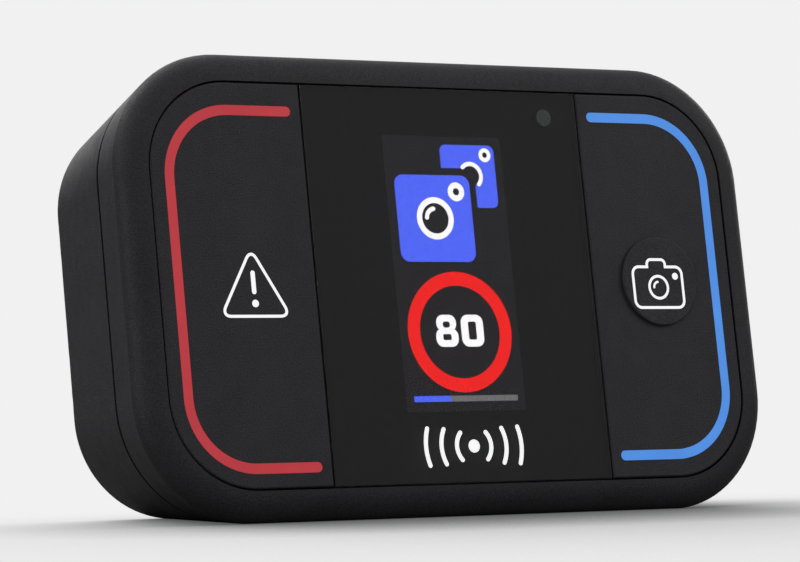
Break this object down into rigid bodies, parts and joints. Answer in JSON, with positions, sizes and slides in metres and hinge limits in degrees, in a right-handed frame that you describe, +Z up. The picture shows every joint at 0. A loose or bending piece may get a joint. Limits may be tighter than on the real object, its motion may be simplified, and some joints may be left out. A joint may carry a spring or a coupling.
{
  "type": "driver alert unit",
  "caption": "Palm-sized dashboard driver-alert unit that leans back on its base, with a portrait display between two large push buttons framed by coloured light lines.",
  "frame": {"origin": "middle of the flat contact of the bottom wall, on the ground", "axes": "+X to the right as the face is seen, +Y away from the face towards the windscreen, +Z up; the face leans back 9 degrees"},
  "size_m": [0.0694, 0.0251, 0.043],
  "materials": {
    "case": "fine soft-touch grain, satin black",
    "button_plate": "fine soft-touch grain, satin black",
    "window": "smoked satin window",
    "line_red": "translucent red light line",
    "line_blue": "translucent blue light line",
    "seal_rubber": "black silicone",
    "screw_steel": "black-zinc screw",
    "disc_steel": "turned steel disc",
    "clear_plastic": "milky light pipe",
    "inner_plastic": "moulded black",
    "display_glass": "dark display glass",
    "white_plastic": "white reflector",
    "foam": "closed-cell foam",
    "tape": "adhesive tape",
    "flex_film": "amber polyimide",
    "board": "green solder mask",
    "shield_steel": "tinned sheet",
    "chip_black": "moulded epoxy",
    "ceramic": "white ceramic",
    "cell_foil": "laminated foil",
    "connector": "cream nylon",
    "wire": "insulated lead",
    "magnet": "nickel-plated",
    "cone": "thin film",
    "mesh": "black dust mesh",
    "socket_steel": "stainless socket shell",
    "switch_plastic": "switch housing",
    "switch_key": "switch key",
    "lamp": "lamp package"
  },
  "bodies": {
    "casing": {"backlight_unit": "white_plastic", "battery_connector": "connector", "battery_lead": "wire", "battery_pouch": "cell_foil", "battery_tape": "tape", "board_screws": "screw_steel", "charger_chip": "chip_black", "chip_antenna": "ceramic", "display_flex": "flex_film", "display_foam_pad": "foam", "display_window": "window", "flex_connector": "chip_black", "front_frame": "case", "housing_screws": "screw_steel", "housing_seal": "seal_rubber", "inner_carrier": "inner_plastic", "lcd_panel": "display_glass", "left_lamps": "lamp", "left_switch_body": "switch_plastic", "light_sensor": "chip_black", "main_board": "board", "main_processor": "chip_black", "radio_chip": "chip_black", "radio_shield": "shield_steel", "rear_housing": "case", "right_lamps": "lamp", "right_switch_body": "switch_plastic", "sensor_light_pipe": "clear_plastic", "speaker_basket": "shield_steel", "speaker_cone": "cone", "speaker_gasket": "foam", "speaker_lead": "wire", "speaker_magnet": "magnet", "speaker_mesh": "mesh", "steel_mount_disc": "disc_steel", "usb_socket_shell": "socket_steel", "usb_socket_tongue": "chip_black", "window_adhesive": "tape"},
    "left_button_group": {"left_button": "button_plate", "left_light_strip": "line_red"},
    "right_button_group": {"right_button": "button_plate", "right_light_strip": "line_blue"},
    "left_switch_key": {"left_switch_plunger": "switch_key"},
    "right_switch_key": {"right_switch_plunger": "switch_key"}
  },
  "joints": [
    {"name": "left_button_press", "type": "slide", "parent": "casing", "child": "left_button_group", "axis": [0, 0.9877, -0.1564], "range_m": [0, 0.0003], "stiffness_N_per_m": 2000, "springref_m": -0.0002},
    {"name": "right_button_press", "type": "slide", "parent": "casing", "child": "right_button_group", "axis": [0, 0.9877, -0.1564], "range_m": [0, 0.0003], "stiffness_N_per_m": 2000, "springref_m": -0.0002},
    {"name": "left_switch_travel", "type": "slide", "parent": "casing", "child": "left_switch_key", "axis": [0, 0.9877, -0.1564], "range_m": [0, 0.0003]},
    {"name": "right_switch_travel", "type": "slide", "parent": "casing", "child": "right_switch_key", "axis": [0, 0.9877, -0.1564], "range_m": [0, 0.0003]}
  ],
  "couplings": [
    {"joint": "left_switch_travel", "follows": "left_button_press", "ratio": 1},
    {"joint": "right_switch_travel", "follows": "right_button_press", "ratio": 1}
  ]
}
